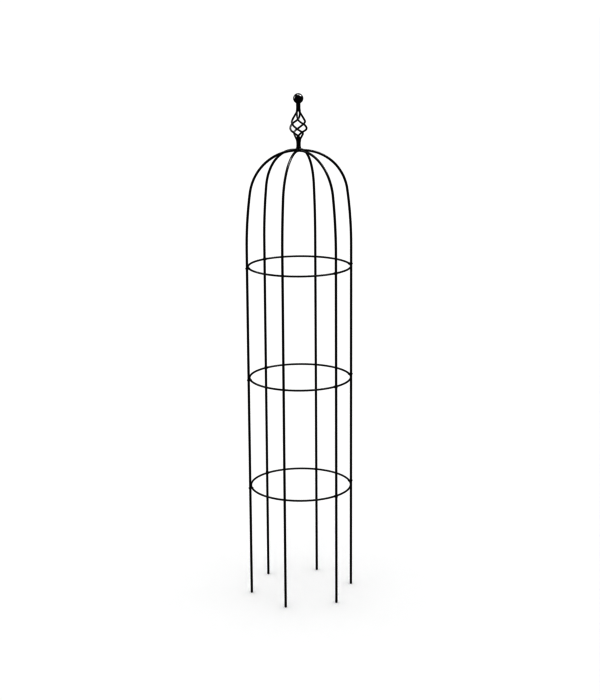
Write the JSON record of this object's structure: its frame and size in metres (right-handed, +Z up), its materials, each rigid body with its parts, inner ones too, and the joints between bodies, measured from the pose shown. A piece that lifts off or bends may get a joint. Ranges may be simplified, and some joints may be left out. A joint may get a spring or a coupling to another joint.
{
  "type": "garden obelisk",
  "caption": "Tall round open plant support: slim tube legs braced by wire rings bend into a dome, topped by a basket-twist finial and a ball.",
  "frame": {"origin": "on the ground, at the centre of the circle of feet", "axes": "+Z up along the obelisk's axis, towards the finial; a leg stands on the +X axis"},
  "size_m": [0.4032, 0.384, 1.9],
  "materials": {
    "leg_coat": "black powder coat, satin gloss, on steel tube",
    "ring_coat": "black powder coat, satin gloss, on steel wire",
    "finial_coat": "black powder coat, satin gloss, on welded steel wire",
    "ball_coat": "black powder coat, glossy, on a steel ball",
    "blackened_steel": "blackened steel fasteners, dull gloss",
    "plug_plastic": "black plastic push-in plugs, fine matte grain"
  },
  "bodies": {
    "root": {"leg_1_lower_tube": "leg_coat", "leg_1_middle_tube": "leg_coat", "leg_1_dome_arm": "leg_coat", "leg_2_lower_tube": "leg_coat", "leg_2_middle_tube": "leg_coat", "leg_2_dome_arm": "leg_coat", "leg_3_lower_tube": "leg_coat", "leg_3_middle_tube": "leg_coat", "leg_3_dome_arm": "leg_coat", "leg_4_lower_tube": "leg_coat", "leg_4_middle_tube": "leg_coat", "leg_4_dome_arm": "leg_coat", "leg_5_lower_tube": "leg_coat", "leg_5_middle_tube": "leg_coat", "leg_5_dome_arm": "leg_coat", "leg_6_lower_tube": "leg_coat", "leg_6_middle_tube": "leg_coat", "leg_6_dome_arm": "leg_coat", "foot_plugs": "plug_plastic", "lower_ring": "ring_coat", "lower_ring_screws": "blackened_steel", "lower_ring_nuts": "blackened_steel", "middle_ring": "ring_coat", "middle_ring_screws": "blackened_steel", "middle_ring_nuts": "blackened_steel", "upper_ring": "ring_coat", "upper_ring_screws": "blackened_steel", "upper_ring_nuts": "blackened_steel", "crown_hub": "finial_coat", "finial_stud": "blackened_steel", "finial_collar": "finial_coat", "basket_wire_1": "finial_coat", "basket_wire_2": "finial_coat", "basket_wire_3": "finial_coat", "basket_wire_4": "finial_coat", "basket_core": "finial_coat", "finial_ball": "ball_coat"}
  },
  "joints": []
}
